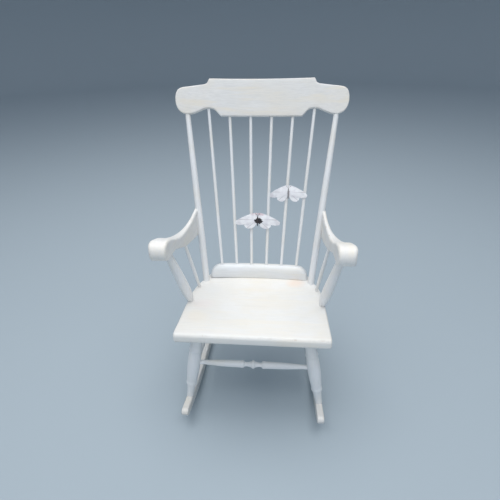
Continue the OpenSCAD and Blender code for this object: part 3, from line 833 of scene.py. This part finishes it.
def make_body(where, name, material, node):
    """Head, thorax and ringed tail, with a pair of knobbed feelers."""
    x, u = where
    base = WING_BACK + 0.0042
    waist, neck = 0.58, 0.84                    # shares of the length, from the tail's end
    points, radii = [], []
    for i in range(45):
        t = i / 44
        b = -0.0215 + 0.0375 * t
        if t < waist:
            r = 0.0008 + 0.0021 * sqrt(t / waist) + 0.00022 * cos(t * 68)
        elif t < neck:
            r = 0.0021 + 0.0011 * sin(pi * (t - waist) / (neck - waist))
        else:
            r = 0.0023 * sqrt(max(0.02, 1 - ((t - 0.91) / 0.095) ** 2))
        points.append(on_back(x, u, 0, b, base + 0.0008 * sin(pi * t)))
        radii.append(r)
    loft(tube(points, radii, 16), name, material, [node])
    for side, word in ((-1, "left"), (1, "right")):
        points = [on_back(x, u, side * (0.0008 + 0.0085 * t * t), 0.0150 + 0.0125 * t,
                          base + 0.0018 * sin(pi * t * 0.8)) for t in [i / 14 for i in range(15)]]
        radii = [0.00035] * 12 + [0.0006, 0.0008, 0.0005]
        loft(tube(points, radii, 8), name + "_feeler_" + word, material, [])


def make_butterfly(name, where, width, look, wing_mat, body_mat):
    """Four wings and a body in front of the spindles. width is half the span."""
    for side, word in ((-1, "left"), (1, "right")):
        for upper, which in ((True, "upper"), (False, "lower")):
            make_wing(side, upper, where, width, name + "_" + which + "_wing_" + word, wing_mat,
                      name + "_wings", look)
    make_body(where, name + "_insect", body_mat, name + "_body")


# ---- carried-over CAD pieces -------------------------------------------------------------

def dress(names, material):
    """Gives the CAD nodes their material."""
    for name in names:
        node = nodes[name]
        for slot in node.material_slots:
            slot.material = material


WHITE_SEAT = (0.86, 0.85, 0.825)
WHITE_ROLL = (0.83, 0.85, 0.87)
WHITE_SAWN = (0.81, 0.80, 0.78)
WHITE_ARM = (0.86, 0.85, 0.83)
WHITE_TURNED = (0.86, 0.87, 0.88)

bpy.context.scene.view_settings.view_transform = "Standard"
make_camera()
make_world()
make_floor()
make_light("sky", (-0.2, -0.2, 4.0), (0, 0, 0.4), 4.6, 146, (1.0, 0.99, 0.97))
make_light("front", (0.3, -3.2, 1.7), (0, 0, 0.4), 3.0, 26, (0.92, 0.95, 1.0))

seat_paint = paint("painted_seat", WHITE_SEAT, (0.10, 1, 1), worn=0.25, marks=seat_marks)
roll_paint = paint("painted_roll", WHITE_ROLL, (0.10, 1, 1), worn=0.25, brushed=1.3,
                   marks=seat_marks)
crest_paint = paint("painted_crest", WHITE_SAWN, (0.10, 1, 1), worn=0.5, brushed=2.0)
arm_paint = paint("painted_arm", WHITE_ARM, (1, 0.12, 0.5), worn=0.6, brushed=1.5)
rocker_paint = paint("painted_rocker", WHITE_SAWN, (1, 0.10, 1), worn=0.9, brushed=1.3)
post_paint = paint("painted_turning", WHITE_TURNED, (1, 0.4, 0.10), worn=0.6, edges=turned_edges)
rung_paint = paint("painted_rung", WHITE_TURNED, (0.10, 1, 1), worn=0.6, edges=turned_edges)
side_paint = paint("painted_side_rung", WHITE_TURNED, (1, 0.10, 1), worn=0.6, edges=turned_edges)

make_seat(seat_paint)
make_roll(roll_paint)
make_crest(crest_paint)
make_arm(-1, "arm_board_left", "arm_left", arm_paint)
make_arm(1, "arm_board_right", "arm_right", arm_paint)
make_rocker(-1, "rocker_board_left", "rocker_left", rocker_paint)
make_rocker(1, "rocker_board_right", "rocker_right", rocker_paint)

sides = ("left", "right")
dress(["back_post_" + s for s in sides] + ["back_spindle_%d" % i for i in range(1, 7)]
      + ["arm_post_" + s for s in sides] + ["arm_spindle_" + s for s in sides]
      + ["leg_%s_%s" % (f, s) for f in ("front", "rear") for s in sides], post_paint)
dress(["front_stretcher", "rear_stretcher"], rung_paint)
dress(["side_stretcher_" + s for s in sides], side_paint)
dress(["rocker_pins"], rocker_paint)
dress(["arm_screw_plugs"], arm_paint)
dress(["roll_dowels", "crest_pins"], bare_wood())
dress(["arm_screws"], screw_steel())
clip_white = ornament_clip()
for clip in ("butterfly_upper_clip", "butterfly_lower_clips"):
    dress([clip], clip_white)
    rim = nodes[clip].modifiers.new("rim", "BEVEL")
    rim.width = 0.0010
    rim.segments = 3
    rim.limit_method = "ANGLE"

body_pale = ornament_body("insect_pale", (0.20, 0.19, 0.20), (0.36, 0.35, 0.36))
body_dark = ornament_body("insect_dark", (0.020, 0.016, 0.018), (0.075, 0.060, 0.060))
# root is the painted-shade patch's centre, half width and half height, in the plane of the wings
upper_look = {"veins": 9, "tint": 0.2, "root": (0.002, 0.000, 0.008, 0.010), "dark": 0.25}
lower_look = {"veins": 9, "tint": 1.0, "root": (0.003, -0.002, 0.0185, 0.0130), "dark": 1.0}
make_butterfly("butterfly_upper", (0.108, -0.279), 0.071, upper_look,
               wing_sheet("wing_pale", 0.35), body_pale)
make_butterfly("butterfly_lower", (-0.007, -0.385), 0.087, lower_look,
               wing_sheet("wing_marked", 0.60), body_dark)
